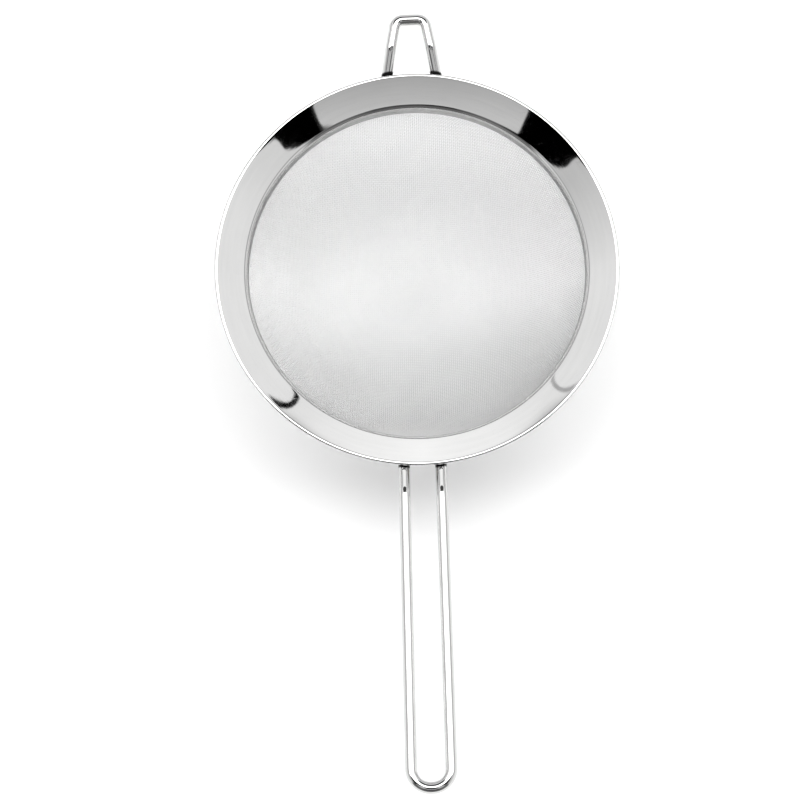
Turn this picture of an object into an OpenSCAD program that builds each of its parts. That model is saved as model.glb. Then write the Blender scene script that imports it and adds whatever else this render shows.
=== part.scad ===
// Tea strainer: a bowl of woven wire cloth clamped in a wide rolled rim, with a
// looped wire handle on one side and a short wire rest on the other.
//
// The origin is the centre of the mouth, on the plane of the lip's flat top.
// +Z points up out of the bowl, the handle runs along -Y and the rest along +Y.
// Lengths are in millimetres.

/* [Rim] */
// Outside diameter over the rolled lip
rim_d = 80; // [76:1:90]
// Width of the band from the outside of the lip to the mouth, seen from above
band_w = 6.6; // [5.5:0.1:8]
// Slope of the band down towards the mouth, in degrees
band_slope = 27; // [20:1:32]
// Thickness of the pressed sheet
sheet_t = 0.3; // [0.2:0.05:0.35]
// Height of the rolled lip
lip_h = 0.75; // [0.75:0.05:1.2]
// Width of the flat on top of the lip
lip_flat = 0.1; // [0.1:0.05:0.4]
// Radius of the bend from the band down into the collar
bend_r = 1.8; // [1.2:0.1:2.2]
// Height of the straight collar under the bend
collar_h = 1.2; // [0.8:0.1:2.4]

/* [Bowl] */
// Depth from the top of the lip to the bottom of the bowl
bowl_depth = 30.6; // [26:0.2:34]
// Thickness of the woven cloth, two wires deep
cloth_t = 0.3; // [0.2:0.05:0.35]

/* [Wires] */
// Diameter of the handle's wire and the rest's wire
wire_d = 2.3; // [1.8:0.1:2.6]
// Height of the level runs of wire above the top of the lip
wire_level = 0.5; // [0:0.1:1.5]
// Bend radius where a wire turns level
knee_r = 3; // [2:0.5:5]

/* [Handle] */
// Reach of the handle beyond the lip
handle_reach = 64; // [50:0.5:90]
// Spacing of the handle's two runs at the rim, centre to centre
handle_w_rim = 7.2; // [6:0.1:9]
// Spacing of the two runs at the far end, centre to centre
handle_w_end = 7.7; // [6.5:0.1:9]

/* [Rest] */
// Reach of the rest beyond the lip
rest_reach = 12.2; // [10:0.2:16]
// Spacing of the rest's legs under the lip, centre to centre
rest_w_rim = 9.9; // [9:0.1:12]
// Width of the rest's top bar, centre to centre of the legs
rest_w_top = 5.8; // [5:0.1:8]
// Bend radius of the rest's corners
rest_corner_r = 1.8; // [1.5:0.1:2]

/* [Welds] */
// Diameter of the blob that each weld is cut from
weld_d = 2.6; // [2.2:0.1:2.8]

/* [Hidden] */
$fn = 96;

// The rim's cross-section, as radius and height. The lip's section runs between
// two centres; the band leaves the inner one along its upper tangent.
lip_r = lip_h / 2;
lip_z = -lip_r;
lip_out = rim_d / 2 - lip_r;
lip_in = lip_out - lip_flat;
mouth_r = rim_d / 2 - band_w;
bend_x = mouth_r + bend_r;
bend_z = lip_z + (lip_r - bend_r - (lip_in - bend_x) * sin(band_slope)) / cos(band_slope);

// Depths below the band's top face at which the clamped layers start and end
cloth_top = sheet_t;
backing_top = cloth_top + cloth_t;
backing_bottom = backing_top + sheet_t;
// Distance from the lip's inner centre to the outer edge of the clamped layers,
// which end just short of the curl
edge_gap = 0.1;
clamp_gap = lip_r + edge_gap;
// The curl's free edge turns this far past the band's direction, in degrees
curl_end = 190;
// The backing ring's collar is shorter than the rim ring's
backing_collar_h = collar_h * 0.8;

// The bowl's cap, from the foot of the collar to the bottom
cap_z = bend_z - collar_h;
cap_out = mouth_r + backing_top;
cap_in = mouth_r + cloth_top;
cap_h = bowl_depth + cap_z;
cap_R = (cap_out * cap_out + cap_h * cap_h) / (2 * cap_h);
cap_mid = cap_R - bowl_depth;
cap_Ri = norm([cap_in, cap_z - cap_mid]);

// The wires start under the backing ring, run parallel to it clear of the ring and
// of the lip, and turn level at the knee
weld_gap = 0.2;
lip_gap = 0.1;
wire_setback = 1.7;
wire_under = max(backing_bottom + weld_gap, lip_h + lip_gap) + wire_d / 2;
wire_start = mouth_r + backing_bottom + wire_setback;
knee_y = lip_in + ((wire_level - lip_z) * cos(band_slope) - lip_r + wire_under)
                  / sin(band_slope);
// How far a weld's middle lies above its wire's middle, and along it from its end
weld_lift = (wire_under - backing_bottom) * 0.75;
weld_along = weld_d * 0.6;
// Sides of a weld's round faces
weld_fn = 240;
// Sides of the swept wires, and the steps round each knee and each corner
wire_sides = 24;
knee_steps = 4;
corner_steps = 12;
// Steps round the lip's outer face and its inner face, the bend and the bowl's cap
lip_steps = 16;
curl_steps = 8;
bend_steps = 8;
cap_steps = 28;
handle_end = rim_d / 2 + handle_reach - wire_d / 2;
// The closed end of the handle is almost a half circle
handle_corner_r = handle_w_end / 2 * 0.96;
rest_end = rim_d / 2 + rest_reach - wire_d / 2;

// Height of a point at radius r that lies depth t below the band's top face
function under_band(r, t) =
    lip_z + (lip_r - t + (r - lip_in) * sin(band_slope)) / cos(band_slope);
// Half the spacing of the rest's legs at distance y from the middle
function rest_x(y) =
    rest_w_rim / 2 + (y - rim_d / 2) / (rest_end - rim_d / 2) * (rest_w_top - rest_w_rim) / 2;
function unit(v) = v / norm(v);
function mirrored(p) = [-p.x, p.y, p.z];

// ---------- cross-sections, as points of radius and height ----------

// Points along a round stretch about c, in n equal steps
function arc(c, r, from, to, n) =
    [for (i = [0 : n]) let (a = from + (to - from) * i / n) c + r * [cos(a), sin(a)]];
function reversed(list) = [for (i = [len(list) - 1 : -1 : 0]) list[i]];
// The face at depth t: down the band from the lip, round the bend, down the collar
function layer_face(t, gap, drop) = concat(
    [[lip_in, lip_z] + (lip_r - t) * [-sin(band_slope), cos(band_slope)]
        - gap * [cos(band_slope), sin(band_slope)]],
    arc([bend_x, bend_z], bend_r - t, 90 + band_slope, 180, bend_steps),
    [[mouth_r + t, bend_z - drop]]);
// The face of the lip's rolled sheet at distance r from the lip's two centres, with n
// steps round its outer half
function lip_face(r, n) = concat(
    arc([lip_in, lip_z], r, 90 + band_slope, 90, n / 4),
    arc([lip_out, lip_z], r, 90, -90, n),
    arc([lip_in, lip_z], r, -90, band_slope + curl_end - 360, n / 4));
// A face of the bowl's cap, from the foot of the collar to the middle
function cap_face(r, rim) = arc([0, cap_mid], r, atan2(cap_z - cap_mid, rim), -90, cap_steps);

// ---------- bent wire ----------

// The stops along the bend at corner c, arriving along u and leaving along v:
// each is a point on the wire's middle and the direction the wire takes there
function bend_stops(c, u, v, r, n) =
    let (w = unit(v - u * (u * v)), angle = acos(u * v), m = c + r * (w - u * tan(angle / 2)))
    [for (i = [0 : n]) let (a = angle * i / n)
        [m + r * (u * sin(a) - w * cos(a)), u * cos(a) + w * sin(a)]];

// The stops along a path with a bend radius and a number of steps for each corner
function wire_stops(path, radii, steps) = let (last = len(path) - 1) concat(
    [[path[0], unit(path[1] - path[0])]],
    [for (i = [1 : last - 1])
        each bend_stops(path[i], unit(path[i] - path[i - 1]), unit(path[i + 1] - path[i]),
                        radii[i], steps[i])],
    [[path[last], unit(path[last] - path[last - 1])]]);

// Round wire swept through its stops; no stop may point straight up
module bent_wire(stops) {
    rings = len(stops);
    polyhedron(
        points = [for (stop = stops)
            let (side = unit(cross(stop[1], [0, 0, 1])), up = cross(side, stop[1]))
            for (k = [0 : wire_sides - 1]) let (a = 360 * k / wire_sides)
                stop[0] + wire_d / 2 * (side * cos(a) + up * sin(a))],
        faces = concat(
            [[for (k = [0 : wire_sides - 1]) k]],
            [[for (k = [wire_sides - 1 : -1 : 0]) (rings - 1) * wire_sides + k]],
            [for (i = [0 : rings - 2], k = [0 : wire_sides - 1])
                let (a = i * wire_sides, b = a + wire_sides, next = (k + 1) % wire_sides)
                [a + k, b + k, b + next, a + next]]));
}

// A loop of wire that is the same on both sides of the middle: half its path is given
module wire_loop(half, radii, steps) {
    bent_wire(wire_stops(concat(half, [for (p = reversed(half)) mirrored(p)]),
                         concat(radii, reversed(radii)), concat(steps, reversed(steps))));
}

// A blob of weld between the underside of the backing ring and a wire that
// starts at p and rises towards q
module weld(p, q) {
    u = unit(q - p);
    up = unit(cross([sign(q.y), 0, 0], u));
    $fn = weld_fn;
    difference() {
        translate(p + u * weld_along + up * weld_lift) sphere(d = weld_d);
        translate(p) rotate([0, acos(u.z), atan2(u.y, u.x)])
            cylinder(d = wire_d, h = norm(q - p));
        rotate_extrude() polygon([
            [mouth_r, under_band(mouth_r, backing_bottom)],
            [lip_in, under_band(lip_in, backing_bottom)],
            [lip_in, wire_d],
            [mouth_r, wire_d]]);
    }
}

// ---------- sub-parts ----------

handle_path = [
    [handle_w_rim / 2, -wire_start, under_band(wire_start, wire_under)],
    [handle_w_rim / 2, -knee_y, wire_level],
    [handle_w_end / 2, -handle_end, wire_level]];

rest_path = [
    [rest_x(wire_start), wire_start, under_band(wire_start, wire_under)],
    [rest_x(knee_y), knee_y, wire_level],
    [rest_x(rest_end), rest_end, wire_level]];

module rim_ring() {
    color("gainsboro") rotate_extrude() polygon(concat(
        reversed(layer_face(sheet_t, 0, collar_h)),
        lip_face(lip_r - sheet_t, curl_steps),
        reversed(lip_face(lip_r, lip_steps)),
        layer_face(0, 0, collar_h)));
}

module backing_ring() {
    color("silver") rotate_extrude() polygon(concat(
        layer_face(backing_top, clamp_gap, backing_collar_h),
        reversed(layer_face(backing_bottom, clamp_gap, backing_collar_h))));
}

module mesh_bowl() {
    color("lightgray") rotate_extrude() polygon(concat(
        layer_face(cloth_top, clamp_gap, collar_h),
        cap_face(cap_Ri, cap_in),
        reversed(cap_face(cap_R, cap_out)),
        reversed(layer_face(backing_top, clamp_gap, collar_h))));
}

module handle_wire() {
    color("whitesmoke") wire_loop(handle_path, [0, knee_r, handle_corner_r],
                                       [0, knee_steps, corner_steps]);
}

module rest_loop() {
    color("whitesmoke") wire_loop(rest_path, [0, knee_r, rest_corner_r],
                                       [0, knee_steps, corner_steps]);
}

module handle_welds() {
    color("darkgray") for (side = [1, -1])
        weld([side * handle_path[0].x, handle_path[0].y, handle_path[0].z],
             [side * handle_path[1].x, handle_path[1].y, handle_path[1].z]);
}

module rest_welds() {
    color("darkgray") for (side = [1, -1])
        weld([side * rest_path[0].x, rest_path[0].y, rest_path[0].z],
             [side * rest_path[1].x, rest_path[1].y, rest_path[1].z]);
}

rim_ring();
backing_ring();
mesh_bowl();
handle_wire();
rest_loop();
handle_welds();
rest_welds();
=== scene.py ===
import math

import bpy
import numpy as np
from mathutils import Matrix, Vector


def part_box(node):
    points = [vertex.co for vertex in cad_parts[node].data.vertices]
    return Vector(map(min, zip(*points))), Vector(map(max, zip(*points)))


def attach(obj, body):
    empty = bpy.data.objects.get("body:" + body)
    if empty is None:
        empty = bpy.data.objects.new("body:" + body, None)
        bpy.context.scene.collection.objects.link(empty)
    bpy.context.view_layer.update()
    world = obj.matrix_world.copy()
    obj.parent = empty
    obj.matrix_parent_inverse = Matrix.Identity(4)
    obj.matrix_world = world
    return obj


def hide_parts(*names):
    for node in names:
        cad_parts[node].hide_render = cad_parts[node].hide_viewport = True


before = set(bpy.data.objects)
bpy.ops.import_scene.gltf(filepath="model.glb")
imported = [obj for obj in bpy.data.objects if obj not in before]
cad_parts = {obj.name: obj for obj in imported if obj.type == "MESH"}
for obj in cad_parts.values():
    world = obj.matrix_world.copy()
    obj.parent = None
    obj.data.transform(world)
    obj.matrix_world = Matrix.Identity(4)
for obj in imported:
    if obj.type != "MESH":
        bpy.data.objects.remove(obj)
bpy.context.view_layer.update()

MM = 0.001


def mm(node):
    """A CAD node's lowest and highest corners, in millimetres."""
    low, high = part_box(node)
    return np.array(low) / MM, np.array(high) / MM


_, rim_high = mm("rim_ring")
bowl_low, _ = mm("mesh_bowl")
handle_low, handle_high = mm("handle_wire")
_, rest_high = mm("rest_loop")

# ---------- the rim's cross-section, as in the CAD model ----------
# Points are (radius, height), and height 0 is the top of the lip.

RIM_R = rim_high[0]
BAND_W = 6.6
MOUTH_R = RIM_R - BAND_W
SHEET = 0.3
CLOTH = 0.3
COLLAR = 1.2
BACKING_COLLAR = COLLAR * 0.8
# The gap between the backing ring's outer edge and the inside of the lip
EDGE_GAP = 0.1
# How far the band slopes down towards the mouth, in degrees and in radians
SLOPE_DEG = 27
SLOPE = math.radians(SLOPE_DEG)
# How far the band's middle stands proud of a straight line across it
CROWN = 0.03

# The lip is two arcs joined by a short flat. BEND is the middle of the bend
# between the band and the collar.
LIP_R = 0.375
LIP_FLAT = 0.1
LIP_OUT = np.array([RIM_R - LIP_R, -LIP_R])
LIP_IN = LIP_OUT - [LIP_FLAT, 0]
BEND_R = 1.8
BEND = np.array([MOUTH_R + BEND_R, 0.0])
BEND[1] = -LIP_R + (LIP_R - BEND_R - (LIP_IN[0] - BEND[0]) * math.sin(SLOPE)) / math.cos(SLOPE)
COLLAR_FOOT = BEND[1] - COLLAR

# The directions, in degrees, in which the band faces and in which the lip ends
BAND_FACES = 90 + SLOPE_DEG
LIP_ENDS = -143


def arc(centre, radius, start, end, steps):
    """Points round centre from one angle to another, in degrees."""
    a = np.radians(np.linspace(start, end, steps + 1))
    return np.asarray(centre) + radius * np.stack([np.cos(a), np.sin(a)], -1)


def crowned(a, b, height, steps):
    """Points between a and b on a shallow bow, standing off to the left of a to b."""
    t = np.linspace(0, 1, steps + 1)[1:-1, None]
    along = b - a
    left = np.array([-along[1], along[0]]) / np.linalg.norm(along)
    return a + along * t + left * height * 4 * t * (1 - t)


def layer_face(depth, gap, drop, crown=0.0):
    """A face of a clamped layer: down the band, round the bend and down the collar.
    It lies depth below the band's face, and starts gap inside the lip."""
    normal = np.array([-math.sin(SLOPE), math.cos(SLOPE)])
    upward = np.array([math.cos(SLOPE), math.sin(SLOPE)])
    start = LIP_IN + (LIP_R - depth) * normal - gap * upward
    bend = arc(BEND, BEND_R - depth, BAND_FACES, 180, 14)
    middle = crowned(start, bend[0], -crown, 16)
    foot = [[MOUTH_R + depth, BEND[1] - drop]]
    return np.vstack([[start], middle, bend, foot])


def lip_face(radius):
    """The lip's outer or inner face, from the band over the top and under again."""
    return np.vstack([
        arc(LIP_IN, radius, BAND_FACES, 90, 5)[1:],
        arc(LIP_OUT, radius, 90, -90, 28),
        arc(LIP_IN, radius, -90, LIP_ENDS, 8)])


# ---------- meshes ----------


def make(name, points, faces, material, uv=None, sharp=35):
    """A mesh piece from points in millimetres, with edges over sharp degrees kept crisp."""
    mesh = bpy.data.meshes.new(name)
    mesh.from_pydata((np.asarray(points) * MM).tolist(), [], [list(f) for f in faces])
    mesh.update()
    if uv is not None:
        layer = mesh.uv_layers.new(name="length")
        loops = np.zeros(len(mesh.loops), np.int32)
        mesh.loops.foreach_get("vertex_index", loops)
        layer.data.foreach_set("uv", uv[loops].astype(np.float32).ravel())
    mesh.shade_smooth()
    if sharp:
        mesh.set_sharp_from_angle(angle=math.radians(sharp))
    mesh.materials.append(material)
    piece = bpy.data.objects.new(name, mesh)
    bpy.context.scene.collection.objects.link(piece)
    return piece


def lathe(name, outline, material, turns=360):
    """A closed outline of radius and height turned about Z."""
    n = len(outline)
    a = 2 * math.pi * np.arange(turns) / turns
    r, z = outline[:, 0], outline[:, 1]
    points = np.stack([np.cos(a)[:, None] * r, np.sin(a)[:, None] * r,
                       np.broadcast_to(z, (turns, n))], -1).reshape(-1, 3)
    faces = []
    for i in range(turns):
        k, m = i * n, (i + 1) % turns * n
        for j in range(n):
            j2 = (j + 1) % n
            faces.append((k + j, m + j, m + j2, k + j2))
    return make(name, points, faces, material)


def unit(v):
    v = np.asarray(v, float)
    return v / np.linalg.norm(v)


def stops_round(corner, u, v, radius, steps):
    """Middle points and directions along a bend, arriving along u, leaving along v."""
    w = unit(v - u * (u @ v))
    angle = math.acos(u @ v)
    centre = corner + radius * (w - u * math.tan(angle / 2))
    out = []
    for i in range(steps + 1):
        a = angle * i / steps
        out.append((centre + radius * (u * math.sin(a) - w * math.cos(a)),
                    u * math.cos(a) + w * math.sin(a)))
    return out


def wire_stops(path, radii, steps, run_steps=14):
    """Points and directions along a bent wire: a bend at each inner corner of the path,
    and straight runs between."""
    path = [np.asarray(p, float) for p in path]
    stops = [(path[0], unit(path[1] - path[0]))]
    for i in range(1, len(path)):
        u = unit(path[i] - path[i - 1])
        if i == len(path) - 1:
            ahead = [(path[i], u)]
        else:
            ahead = stops_round(path[i], u, unit(path[i + 1] - path[i]), radii[i], steps[i])
        start = stops[-1][0]
        for k in range(1, run_steps):
            stops.append((start + (ahead[0][0] - start) * k / run_steps, u))
        stops += ahead
    return stops


def swept(name, stops, radius, material, sides=40):
    """Round wire through its stops, with slightly rounded ends. Its UV map holds the
    length along the wire and the way round it."""
    rings, uvs, length, last = [], [], 0.0, stops[0][0]
    # Distance in from the end and thickness there, both as parts of the radius
    ends = [(0.0, 0.55), (0.15, 0.85), (0.45, 1.0)]
    (p0, t0), (p1, t1) = stops[0], stops[-1]
    first = [(p0 + t0 * d * radius, t0, s) for d, s in ends]
    final = [(p1 - t1 * d * radius, t1, s) for d, s in reversed(ends)]
    for p, t, s in first + [(p, t, 1.0) for p, t in stops[1:-1]] + final:
        length += np.linalg.norm(p - last)
        last = p
        side = unit(np.cross(t, [0, 0, 1]))
        up = np.cross(side, t)
        a = 2 * math.pi * np.arange(sides) / sides
        rings.append(p + s * radius * (np.cos(a)[:, None] * side + np.sin(a)[:, None] * up))
        uvs.append(np.stack([np.full(sides, length * MM), a / (2 * math.pi)], -1))
    n = len(rings)
    faces = [tuple(range(sides)), tuple((n - 1) * sides + k for k in reversed(range(sides)))]
    for i in range(n - 1):
        a, b = i * sides, (i + 1) * sides
        for k in range(sides):
            k2 = (k + 1) % sides
            faces.append((a + k, b + k, b + k2, a + k2))
    return make(name, np.vstack(rings), faces, material, uv=np.vstack(uvs), sharp=60)


# ---------- shader helpers ----------


class Tree:
    """Short names for the shader nodes that the materials and the world use."""

    def __init__(self, tree):
        self.tree = tree
        tree.nodes.clear()

    def node(self, kind, **settings):
        n = self.tree.nodes.new("ShaderNode" + kind)
        for k, v in settings.items():
            setattr(n, k, v)
        return n

    def put(self, socket, value):
        if isinstance(value, bpy.types.NodeSocket):
            self.tree.links.new(value, socket)
        else:
            socket.default_value = value

    def maths(self, operation, *values):
        n = self.node("Math", operation=operation)
        for socket, value in zip(n.inputs, values):
            self.put(socket, value)
        return n.outputs[0]

    def hypot(self, a, b):
        """The length of a vector with these two parts."""
        return self.maths("SQRT", self.maths("ADD", self.maths("MULTIPLY", a, a),
                                             self.maths("MULTIPLY", b, b)))

    def step(self, value, low, high, out_low=0.0, out_high=1.0, smooth=True):
        """A value that goes from out_low to out_high as another goes from low to high."""
        n = self.node("MapRange", interpolation_type="SMOOTHSTEP" if smooth else "LINEAR")
        for socket, v in zip(n.inputs, (value, low, high, out_low, out_high)):
            self.put(socket, v)
        return n.outputs[0]

    def mix(self, factor, a, b):
        n = self.node("Mix", data_type="FLOAT")
        for socket, v in zip(n.inputs, (factor, None, a, b)):
            if v is not None:
                self.put(socket, v)
        return n.outputs[0]

    def noise(self, vector, scale, detail=2.0, roughness=0.5, distortion=0.0):
        n = self.node("TexNoise")
        self.put(n.inputs["Vector"], vector)
        n.inputs["Scale"].default_value = scale
        n.inputs["Detail"].default_value = detail
        n.inputs["Roughness"].default_value = roughness
        n.inputs["Distortion"].default_value = distortion
        return n.outputs[0]

    def vector(self, x, y, z):
        n = self.node("CombineXYZ")
        for socket, v in zip(n.inputs, (x, y, z)):
            self.put(socket, v)
        return n.outputs[0]

    def split(self, vector):
        n = self.node("SeparateXYZ")
        self.put(n.inputs[0], vector)
        return n.outputs

    def ramp(self, factor, stops):
        """Greys or colours blended along stops of position, from 0 to 1, and value."""
        n = self.node("ValToRGB")
        self.put(n.inputs[0], factor)
        marks = n.color_ramp.elements
        for i, (at, value) in enumerate(stops):
            mark = marks[i] if i < 2 else marks.new(at)
            mark.position = at
            colour = value if hasattr(value, "__len__") else (value,) * 3
            mark.color = (*colour, 1)
        return n.outputs[0]


def material(name):
    """A new material, its tree and its shader."""
    m = bpy.data.materials.new(name)
    m.use_nodes = True
    t = Tree(m.node_tree)
    shader = t.node("BsdfPrincipled")
    out = t.node("OutputMaterial")
    t.tree.links.new(shader.outputs[0], out.inputs["Surface"])
    return m, t, shader


def bumped(t, shader, height, strength, distance):
    """Gives the shader fine relief; distance is how deep it goes, in metres."""
    n = t.node("Bump")
    n.inputs["Strength"].default_value = strength
    n.inputs["Distance"].default_value = distance
    t.put(n.inputs["Height"], height)
    t.put(shader.inputs["Normal"], n.outputs[0])


def place(t):
    """The point on a piece, in metres."""
    return t.node("TexCoord").outputs["Object"]


def steel_colour(t, shader, tone):
    """Makes the shader metal of the given tone, a trace warmer than grey."""
    tint = t.node("CombineColor")
    t.put(tint.inputs[0], tone)
    t.put(tint.inputs[1], t.maths("MULTIPLY", tone, 0.998))
    t.put(tint.inputs[2], t.maths("MULTIPLY", tone, 0.994))
    t.put(shader.inputs["Base Color"], tint.outputs[0])
    shader.inputs["Metallic"].default_value = 1.0


def grey_colour(t, shader, tone):
    """Gives the shader a neutral grey of the given tone."""
    tint = t.node("CombineColor")
    for socket in tint.inputs[:3]:
        t.put(socket, tone)
    t.put(shader.inputs["Base Color"], tint.outputs[0])


def turned_steel(name, grey, rough, streak_rough, streak_bump, throat=None):
    """Polished sheet whose fine polishing marks run round the Z axis. Inside the throat's
    radius it is rougher and painted darker, as shade in the crevice, most of all at the sides."""
    m, t, shader = material(name)
    spot = place(t)
    x, y, z = t.split(spot)
    radius = t.hypot(x, y)
    angle = t.maths("ARCTAN2", y, x)
    slant = t.maths("ADD", radius, t.maths("MULTIPLY", z, 0.7))

    def streaks(turns, lines, detail, roughness):
        spread = t.vector(t.maths("MULTIPLY", angle, turns), t.maths("MULTIPLY", slant, lines), z)
        return t.noise(spread, 1.0, detail, roughness)

    fine = streaks(2.2, 5200, 3.0, 0.6)
    broad = streaks(3.0, 900, 2.0, 0.5)
    cloud = t.noise(spot, 90.0, 3.0, 0.6)
    smudge = t.noise(spot, 260.0, 4.0, 0.65, 0.6)
    # A few longer hairline scratches that cross the polish
    across = t.vector(t.maths("MULTIPLY", x, 260), t.maths("MULTIPLY", y, 2600), z)
    hair = t.step(t.noise(across, 1.0, 1.0), 0.70, 0.74)
    tone = t.maths("ADD", t.mix(cloud, grey * 0.955, grey * 1.045),
                   t.maths("MULTIPLY", t.maths("SUBTRACT", broad, 0.5), 0.05))
    if throat:
        inside = t.step(radius, (throat - 0.05) * MM, (throat + 0.55) * MM, 1.0, 0.0)
        # Painted shade: the throat, where the cloth meets the collar, is painted darker, most of
        # all at the sides, where y is near 0
        crevice_shade = t.step(t.maths("ABSOLUTE", y), 0.012, 0.034, 0.42, 0.72)
        tone = t.maths("MULTIPLY", tone, t.mix(inside, 1.0, crevice_shade))
    steel_colour(t, shader, tone)
    base = t.step(smudge, 0.35, 0.75, rough * 0.8, rough * 1.6)
    if throat:
        base = t.maths("ADD", base, t.maths("MULTIPLY", inside, 0.3))
    marks = t.maths("MULTIPLY", t.maths("SUBTRACT", fine, 0.4), streak_rough)
    r = t.maths("ADD", t.maths("ADD", base, marks), t.maths("MULTIPLY", hair, 0.05))
    t.put(shader.inputs["Roughness"], t.maths("MAXIMUM", r, 0.02))
    bumped(t, shader, t.maths("ADD", fine, t.maths("MULTIPLY", broad, 1.5)), streak_bump, 0.00001)
    return m


# How far beyond the rim the painted shade at the wires' roots reaches
HANDLE_ROOT_SHADE = 0.35
REST_ROOT_SHADE = 0.95


def drawn_wire(name, grey, rough):
    """Polished wire with fine draw lines along its length."""
    m, t, shader = material(name)
    along, around, _ = t.split(t.node("UVMap", uv_map="length").outputs[0])
    # The way round is a closed circle, so that no seam shows
    turn = t.maths("MULTIPLY", around, 2 * math.pi)
    c, s = t.maths("COSINE", turn), t.maths("SINE", turn)
    lines = t.noise(t.vector(t.maths("MULTIPLY", along, 120), t.maths("MULTIPLY", c, 9),
                             t.maths("MULTIPLY", s, 9)), 1.0, 3.0, 0.6)
    spot = place(t)
    cloud = t.noise(spot, 140.0, 3.0, 0.6)
    nick = t.step(t.noise(spot, 1500.0, 1.0), 0.70, 0.76)
    tone = t.mix(cloud, grey * 0.95, grey * 1.04)
    # Painted shade: where the wires go under the lip their roots are painted near black, the
    # rest's farther out than the handle's
    x, y, _ = t.split(spot)
    edge = t.step(y, -0.01, 0.01, (RIM_R + HANDLE_ROOT_SHADE) * MM, (RIM_R + REST_ROOT_SHADE) * MM)
    ragged = t.maths("MULTIPLY", t.maths("SUBTRACT", cloud, 0.5), 0.0004)
    past = t.maths("ADD", t.maths("SUBTRACT", t.hypot(x, y), edge), ragged)
    root_shade = t.step(past, -0.0002, 0.0002, 1.0, 0.0)
    tone = t.maths("MULTIPLY", tone, t.mix(root_shade, 1.0, 0.02))
    steel_colour(t, shader, tone)
    r = t.maths("ADD", t.mix(cloud, rough * 0.7, rough * 1.5),
                t.maths("MULTIPLY", t.maths("SUBTRACT", lines, 0.4), rough))
    r = t.maths("ADD", r, t.maths("MULTIPLY", nick, 0.08))
    t.put(shader.inputs["Roughness"], t.maths("MAXIMUM", r, 0.02))
    bumped(t, shader, t.maths("SUBTRACT", lines, t.maths("MULTIPLY", nick, 0.6)), 0.25, 0.00001)
    return m


def cloth_wire(name, grey):
    """Fine woven wire: bright, a little uneven from wire to wire, with painted shade towards the
    handle's side.
    """
    m, t, shader = material(name)
    spot = place(t)
    cloud = t.noise(spot, 110.0, 3.0, 0.65)
    grain = t.noise(spot, 900.0, 2.0, 0.6)
    tone = t.maths("ADD", t.mix(cloud, grey * 0.95, grey * 1.05),
                   t.maths("MULTIPLY", t.maths("SUBTRACT", grain, 0.5), 0.06))
    # Painted shade: darker towards the handle's side (-Y) and a little towards +X, with a patchy
    # edge
    x, y, _ = t.split(spot)
    patchy = t.maths("MULTIPLY", t.maths("SUBTRACT", t.noise(spot, 55.0, 2.0), 0.5), 0.03)
    shade_side = t.maths("ADD", t.maths("SUBTRACT", t.maths("MULTIPLY", x, 0.3), y), patchy)
    tone = t.maths("MULTIPLY", tone, t.step(shade_side, -0.008, 0.036, 1.0, 0.72))
    grey_colour(t, shader, tone)
    shader.inputs["Metallic"].default_value = 1.0
    t.put(shader.inputs["Roughness"], t.step(grain, 0.3, 0.7, 0.52, 0.66))
    return m


def weld_metal(name):
    """Weld as left by the welder: rough, with a straw and blue heat tint."""
    m, t, shader = material(name)
    spot = place(t)
    cells = t.noise(spot, 1800.0, 4.0, 0.65)
    heat = t.noise(spot, 700.0, 2.0)
    tint = t.ramp(heat, [(0.30, (0.34, 0.33, 0.33)), (0.46, (0.46, 0.42, 0.36)),
                         (0.56, (0.44, 0.38, 0.31)), (0.68, (0.40, 0.41, 0.46))])
    t.put(shader.inputs["Base Color"], tint)
    shader.inputs["Metallic"].default_value = 1.0
    t.put(shader.inputs["Roughness"], t.step(cells, 0.3, 0.7, 0.32, 0.55))
    bumped(t, shader, cells, 0.6, 0.00012)
    return m


STEEL = 0.66
band_steel = turned_steel("band_steel", STEEL, 0.03, 0.03, 0.08, throat=MOUTH_R)
back_steel = turned_steel("back_steel", STEEL * 0.94, 0.12, 0.10, 0.4)
wire_steel = drawn_wire("wire_steel", STEEL, 0.05)
cloth_steel = cloth_wire("cloth_steel", 0.98)
weld_steel = weld_metal("weld_steel")

# ---------- rings ----------

rim = lathe("rim_ring_polished", np.vstack([
    layer_face(SHEET, 0, COLLAR, CROWN)[::-1],
    lip_face(LIP_R - SHEET),
    lip_face(LIP_R)[::-1],
    layer_face(0, 0, COLLAR, CROWN)]), band_steel)
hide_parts("rim_ring")

BACK_TOP = SHEET + CLOTH
BACK_UNDER = 2 * SHEET + CLOTH
GAP = LIP_R + EDGE_GAP
backing = lathe("backing_ring_pressed", np.vstack([
    layer_face(BACK_TOP, GAP, BACKING_COLLAR),
    layer_face(BACK_UNDER, GAP, BACKING_COLLAR)[::-1]]), back_steel)
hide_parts("backing_ring")
for ring in (rim, backing):
    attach(ring, "root")

# ---------- handle and rest ----------

WIRE_R = 1.15
LEVEL = handle_high[2] - WIRE_R
# The welds fill this gap between the backing ring and the wires
WELD_GAP = 0.2
UNDER = BACK_UNDER + WELD_GAP + WIRE_R
# The wires start this far outside the backing ring's collar
SETBACK = 1.7
START = MOUTH_R + BACK_UNDER + SETBACK
KNEE_R = 3.0
# Half the widths of the loops, at the rim and at their closed ends, and their corners
HANDLE_X_RIM = 3.6
HANDLE_X_END = 3.85
HANDLE_CORNER_R = 3.7
REST_X_RIM = 4.95
REST_X_TOP = 2.9
REST_CORNER_R = 1.8


def under_band(r, depth):
    """The height, at radius r, of a line that runs depth below the band's face."""
    return -LIP_R + (LIP_R - depth + (r - LIP_IN[0]) * math.sin(SLOPE)) / math.cos(SLOPE)


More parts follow.
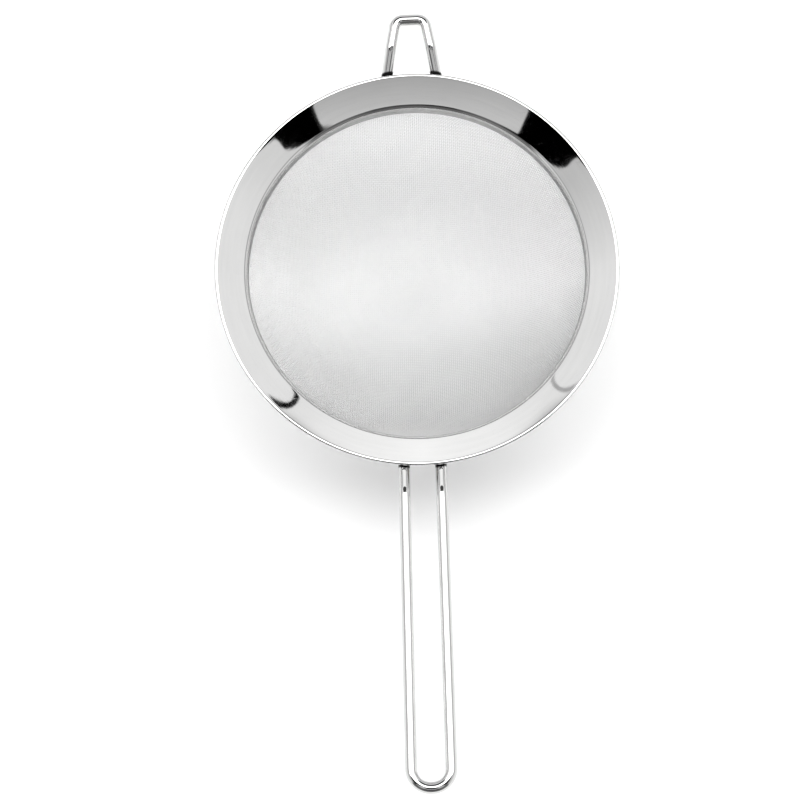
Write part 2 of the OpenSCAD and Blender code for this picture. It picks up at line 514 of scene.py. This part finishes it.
# Where the wires come up to the level
KNEE = LIP_IN[0] + ((LEVEL + LIP_R) * math.cos(SLOPE) - LIP_R + UNDER) / math.sin(SLOPE)
HANDLE_END = -handle_low[1] - WIRE_R
REST_END = rest_high[1] - WIRE_R


def looped(half, radii, steps):
    """Stops of a wire whose path is half and the mirror image of half."""
    whole = half + [[-x, y, z] for x, y, z in reversed(half)]
    return wire_stops(whole, radii + radii[::-1], steps + steps[::-1])


def rest_x(y):
    """Half the width of the rest at y; its sides draw together away from the rim."""
    return REST_X_RIM + (y - RIM_R) / (REST_END - RIM_R) * (REST_X_TOP - REST_X_RIM)


handle = swept("handle_wire_polished", looped(
    [[HANDLE_X_RIM, -START, under_band(START, UNDER)], [HANDLE_X_RIM, -KNEE, LEVEL],
     [HANDLE_X_END, -HANDLE_END, LEVEL]],
    [0, KNEE_R, HANDLE_CORNER_R], [0, 10, 36]), WIRE_R, wire_steel)
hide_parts("handle_wire")
rest = swept("rest_loop_polished", looped(
    [[rest_x(START), START, under_band(START, UNDER)], [rest_x(KNEE), KNEE, LEVEL],
     [rest_x(REST_END), REST_END, LEVEL]],
    [0, KNEE_R, REST_CORNER_R], [0, 10, 30]), WIRE_R, wire_steel)
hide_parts("rest_loop")
for wire in (handle, rest):
    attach(wire, "root")

# ---------- the woven bowl ----------

PITCH = 0.42
STRAND = 0.15
# How far the strands run up between the two collars
TUCK = 0.7
CAP_OUT = MOUTH_R + SHEET + CLOTH
DEPTH = -bowl_low[2]
CAP_H = DEPTH + COLLAR_FOOT
CAP_R = (CAP_OUT ** 2 + CAP_H ** 2) / (2 * CAP_H)
CAP_MID = CAP_R - DEPTH
# The strands' middle surface: a sphere, and above the collar's foot a cylinder
NET_R = CAP_R - CLOTH / 2
EDGE_R = MOUTH_R + SHEET + CLOTH / 2
# How far the net is laid out from the bowl's bottom, in radians, and how far above the
# sphere's middle its last knots may lie
NET_REACH = 1.45
NET_TOP = NET_R * 0.2
# How much of their rise and fall the strands keep where the collars press them
PRESSED = 0.6


def net_quarter():
    """Knots of an even net laid on the bowl's sphere, with straight strands along
    both axes and every knot one pitch from the two before it: how flat woven cloth
    drapes, its squares shearing to diamonds towards the diagonals."""
    count = int(NET_R * NET_REACH / PITCH) + 2
    knots = np.full((count, count, 3), np.nan)
    step = 2 * math.asin(PITCH / 2 / NET_R)
    for i in range(count):
        a = i * step
        knots[i, 0] = NET_R * np.array([math.sin(a), 0, -math.cos(a)])
        knots[0, i] = NET_R * np.array([0, math.sin(a), -math.cos(a)])
    k = NET_R ** 2 - PITCH ** 2 / 2
    for i in range(1, count):
        for j in range(1, count):
            a, b, d = knots[i - 1, j], knots[i, j - 1], knots[i - 1, j - 1]
            x = 2 * k / (NET_R ** 2 + a @ b) * (a + b) - d
            if x[2] > NET_TOP or not np.isfinite(x[0]):
                break
            knots[i, j] = x
    return knots


def strands(quarter):
    """Both sets of strands. Each strand is a list of knots: a point on the sphere, from
    the sphere's middle, and 1 or -1 for outside or inside the crossing strand."""
    count = len(quarter)

    def knot(i, j):
        p = quarter[abs(i), abs(j)].copy()
        p[0] *= -1 if i < 0 else 1
        p[1] *= -1 if j < 0 else 1
        return p

    top = COLLAR_FOOT + TUCK - CAP_MID
    for across in (False, True):
        lines = []
        for i in range(1 - count, count):
            line = []
            for j in range(1 - count, count):
                p = knot(j, i) if across else knot(i, j)
                if not np.isfinite(p[0]) or p[2] > top:
                    continue
                over = 1 if (i + j) % 2 == 0 else -1
                line.append((p, -over if across else over))
            if len(line) > 2:
                lines.append(line)
        yield lines


def cloth(name, lines):
    """Square-section strands through the knots, rising and falling at each one."""
    points, faces = [], []
    for line in lines:
        p = np.array([q for q, _ in line])
        over = np.array([o for _, o in line], float)
        normal = p / np.linalg.norm(p, axis=1, keepdims=True)
        p = p + [0, 0, CAP_MID]
        # Above the collar's foot the cloth stands straight up between the collars
        flat = np.hypot(p[:, 0], p[:, 1])
        high = flat > EDGE_R
        p[high, :2] *= (EDGE_R / flat[high])[:, None]
        swing = np.where(high, PRESSED, 1.0) * STRAND * 0.5
        p = p + normal * (over * swing)[:, None]
        along = np.gradient(p, axis=0)
        along /= np.linalg.norm(along, axis=1, keepdims=True)
        side = np.cross(along, normal)
        side /= np.linalg.norm(side, axis=1, keepdims=True)
        up = np.cross(side, along)
        base = len(points) * 4
        n = len(p)
        for k in range(n):
            points.append([p[k] + STRAND / 2 * v for v in (side[k], up[k], -side[k], -up[k])])
        faces.append((base, base + 1, base + 2, base + 3))
        last = base + (n - 1) * 4
        faces.append((last + 3, last + 2, last + 1, last))
        for k in range(n - 1):
            a, b = base + 4 * k, base + 4 * (k + 1)
            for s in range(4):
                s2 = (s + 1) % 4
                faces.append((a + s, b + s, b + s2, a + s2))
    return make(name, np.array(points).reshape(-1, 3), faces, cloth_steel, sharp=0)


for name, lines in zip(("mesh_bowl_warp", "mesh_bowl_weft"), strands(net_quarter())):
    half = len(lines) // 2
    for part, some in (("1", lines[:half]), ("2", lines[half:])):
        piece = cloth(f"{name}_{part}", some)
        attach(piece, "root")
        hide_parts("mesh_bowl")

for node in ("handle_welds", "rest_welds"):
    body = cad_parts[node]
    body.data.materials.clear()
    body.data.materials.append(weld_steel)

# ---------- floor, light and camera ----------

FLOOR_GAP = 0.0001
FLOOR_Z = bowl_low[2] * MM - FLOOR_GAP
bpy.ops.mesh.primitive_plane_add(size=12, location=(0, 0, FLOOR_Z))
floor = bpy.context.object
floor.name = "floor"
white, t, shader = material("floor_white")
grain = t.noise(place(t), 40.0, 3.0)
tone = t.mix(grain, 0.94, 0.95)
grey_colour(t, shader, tone)
shader.inputs["Roughness"].default_value = 0.9
shader.inputs["Specular IOR Level"].default_value = 0.2
floor.data.materials.append(white)

# The surroundings are given by azimuth, which is 0 in front (-Y) and 90 towards +X, and
# by height above the horizon, both in degrees. These are their brightnesses.
OVERHEAD = 4.3
DIM = 0.55
TABLE = 0.95
BACK_GAP = 0.08
FRONT_FOOT, FRONT_TOP = 0.78, 0.50
SHOWN = 1.05

world = bpy.data.worlds.new("studio")
bpy.context.scene.world = world
world.use_nodes = True
t = Tree(world.node_tree)
x, y, z = t.split(t.node("TexCoord").outputs["Generated"])
azimuth = t.maths("MULTIPLY", t.maths("ARCTAN2", x, t.maths("MULTIPLY", y, -1)), 180 / math.pi)
height = t.maths("MULTIPLY", t.maths("ARCSINE", z), 180 / math.pi)


def by_azimuth(stops, most=2.0):
    """A value, from 0 to most, that changes with azimuth from -180 to 180 degrees."""
    shades = t.ramp(t.maths("DIVIDE", t.maths("ADD", azimuth, 180), 360),
                    [((a + 180) / 360, v / most) for a, v in stops])
    return t.maths("MULTIPLY", shades, most)


def panel(azimuths, heights, corner, slant=0.0, pivot=0.0, rise=0.0, flare=0.0, flare_from=0.0):
    """Degrees outside a rounded panel of the surroundings; negative inside it. Its
    upright edges lean over by slant, and stand at their azimuths at the pivot's height.
    Below flare_from they also sweep away to one side, ever faster for 3 degrees. Its
    level edges rise with the azimuth, and lie at their heights at azimuth 0."""
    u = t.maths("SUBTRACT", azimuth, sum(azimuths) / 2)
    v = t.maths("SUBTRACT", height, sum(heights) / 2)
    if rise:
        v = t.maths("SUBTRACT", v, t.maths("MULTIPLY", azimuth, rise))
    if slant:
        lean = t.maths("MULTIPLY", t.maths("SUBTRACT", height, pivot), slant)
        u = t.maths("SUBTRACT", u, lean)
    if flare:
        low = t.maths("MAXIMUM", t.maths("SUBTRACT", flare_from, height), 0.0)
        low = t.maths("MINIMUM", low, 3.0)
        u = t.maths("SUBTRACT", u, t.maths("MULTIPLY", t.maths("MULTIPLY", low, low), flare))
    u = t.maths("SUBTRACT", t.maths("ABSOLUTE", u), (azimuths[1] - azimuths[0]) / 2 - corner)
    v = t.maths("SUBTRACT", t.maths("ABSOLUTE", v), (heights[1] - heights[0]) / 2 - corner)
    far = t.hypot(t.maths("MAXIMUM", u, 0.0), t.maths("MAXIMUM", v, 0.0))
    near = t.maths("MINIMUM", t.maths("MAXIMUM", u, v), 0.0)
    return t.maths("SUBTRACT", t.maths("ADD", far, near), corner)


def lit(light, outside, value, soft=0.35):
    """The light with a panel of the given value laid over it."""
    return t.mix(t.step(outside, -soft, soft), value, light)


def seam(light, at, level, curve, half, depth):
    """The light with an upright line in it, bowed about the height level and reaching
    3.3 degrees up and down from there. It is 2 * half thick, and takes away the part
    depth of the light."""
    up = t.maths("SUBTRACT", height, level)
    bow = t.maths("MULTIPLY", t.maths("MULTIPLY", up, up), curve)
    off = t.maths("ABSOLUTE", t.maths("SUBTRACT", t.maths("ADD", azimuth, bow), at))
    off = t.maths("DIVIDE", off, t.hypot(t.maths("MULTIPLY", up, 2 * curve), 1.0))
    ends = t.step(t.maths("ABSOLUTE", up), 3.1, 3.6, 1.0, 0.0)
    line = t.maths("MULTIPLY", t.step(off, half - 0.2, half + 0.2, 1.0, 0.0), ends)
    return t.maths("MULTIPLY", light, t.maths("SUBTRACT", 1.0, t.maths("MULTIPLY", line, depth)))


# Bright overhead and behind, down to this edge, which goes up in front
top_edge = by_azimuth([(-180, 58), (-94, 50), (-84, 50), (-74, 87), (74, 87), (84, 50), (94, 50),
                       (180, 58)], most=200.0)
# Grey at both sides of the camera, and dark at the camera and beyond the grey
round_camera = by_azimuth([(-180, 0.0), (-44, 0.0), (-38, 0.8), (-22, 0.8), (-18, 0.02),
                           (18, 0.02), (22, 0.8), (38, 0.8), (44, 0.0), (180, 0.0)])
over = t.step(t.maths("SUBTRACT", height, top_edge), -0.6, 1.2)
light = t.mix(over, round_camera, OVERHEAD)

# The panels at the sides run on behind into the backdrop, one past the other
walls = by_azimuth([(-180, 1.38), (-160, 1.24), (-150, 1.12), (-110, 1.10), (-97, 0.92),
                    (-78, 0.74), (63, 0.93), (72, 0.96), (90, 1.08), (112, 1.13), (150, 1.13),
                    (163, 1.25), (180, 1.38)])
right = panel((61.6, 330), (-60, 50.4), 1.2, slant=0.1, pivot=48.4, flare=-7.3, flare_from=47.75)
left = panel((-280, -74.3), (-60, 48.9), 1.2, slant=-0.1, pivot=46.8, flare=2.0, flare_from=46.2)
light = lit(light, right, walls)
light = lit(light, left, walls)

# A gap at the back, between the backdrop and the light overhead
for azimuths in ((140, 230), (-230, -140)):
    light = lit(light, panel(azimuths, (30, 66), 15), BACK_GAP, soft=3.0)

# The panel in front, a little darker towards its top
front = t.step(height, 50, 58.5, FRONT_FOOT, FRONT_TOP, smooth=False)
light = lit(light, panel((-50.4, 43.6), (48.6, 61), 1.2, rise=0.018), front)

# Below this edge the room gets dimmer, and then come the pale tables round about
foot = by_azimuth([(-180, 18.5), (-166, 19), (-147, 22.5), (-127, 27.5), (-109, 32), (-89, 37),
                   (-76, 41), (-70, 44), (-49, 45.5), (43, 46), (59, 45.5), (65, 43), (89, 37),
                   (109, 32), (127, 27.5), (147, 22.5), (166, 19), (180, 18.5)], most=200.0)
below = t.maths("SUBTRACT", foot, height)
light = t.mix(t.step(below, 0.0, 8.0), light, DIM)
light = t.mix(t.step(below, 14, 24), light, TABLE)

# In front, everything below the panel is in the shade, most of all at the camera's stand
shade = by_azimuth([(-180, 1.0), (-60, 1.0), (-54, 0.25), (-30, 0.30), (-18, 0.18), (18, 0.18),
                    (30, 0.30), (46, 0.25), (52, 1.0), (180, 1.0)])
light = t.mix(t.step(height, 46.5, 48.5), t.maths("MULTIPLY", light, shade), light)

# The upright edge of each side panel shows as a bowed seam in front of the backdrop
light = seam(light, at=148.1, level=27.3, curve=0.3, half=0.72, depth=1.0)
light = seam(light, at=-145.8, level=28.8, curve=-0.25, half=0.55, depth=0.5)

# The camera itself sees a plain white room
shown = t.node("LightPath").outputs["Is Camera Ray"]
background = t.node("Background")
background.inputs["Color"].default_value = (1, 1, 1, 1)
t.put(background.inputs["Strength"], t.mix(shown, light, SHOWN))
out = t.node("OutputWorld")
t.tree.links.new(background.outputs[0], out.inputs["Surface"])

# A broad soft light from above, which isn't mirrored in the steel
sun_data = bpy.data.lights.new("overhead", "SUN")
sun_data.energy = 0.68
sun_data.angle = math.radians(60)
sun = bpy.data.objects.new("overhead", sun_data)
sun.visible_glossy = False
sun.rotation_euler = (math.radians(-6), math.radians(4), 0)
bpy.context.scene.collection.objects.link(sun)

# The camera looks down from the handle's side, turned a little about its own axis
TARGET = Vector((-4.06, -26.9, 0)) * MM
DISTANCE = 0.65
ELEVATION = math.radians(77.2)
ROLL = math.radians(-1.55)
SHOWN_WIDTH = 0.1564
SENSOR = 36
camera_data = bpy.data.cameras.new("camera")
camera_data.sensor_width = SENSOR
camera_data.lens = SENSOR * DISTANCE / SHOWN_WIDTH
camera_data.clip_start, camera_data.clip_end = 0.01, 50
camera = bpy.data.objects.new("camera", camera_data)
back = Vector((0, -math.cos(ELEVATION), math.sin(ELEVATION)))
turn = (-back).to_track_quat("-Z", "Y").to_matrix() @ Matrix.Rotation(ROLL, 3, "Z")
camera.matrix_world = Matrix.Translation(TARGET + back * DISTANCE) @ turn.to_4x4()
bpy.context.scene.collection.objects.link(camera)
bpy.context.scene.camera = camera

scene = bpy.context.scene
scene.view_settings.view_transform = "Standard"
scene.view_settings.look = "None"
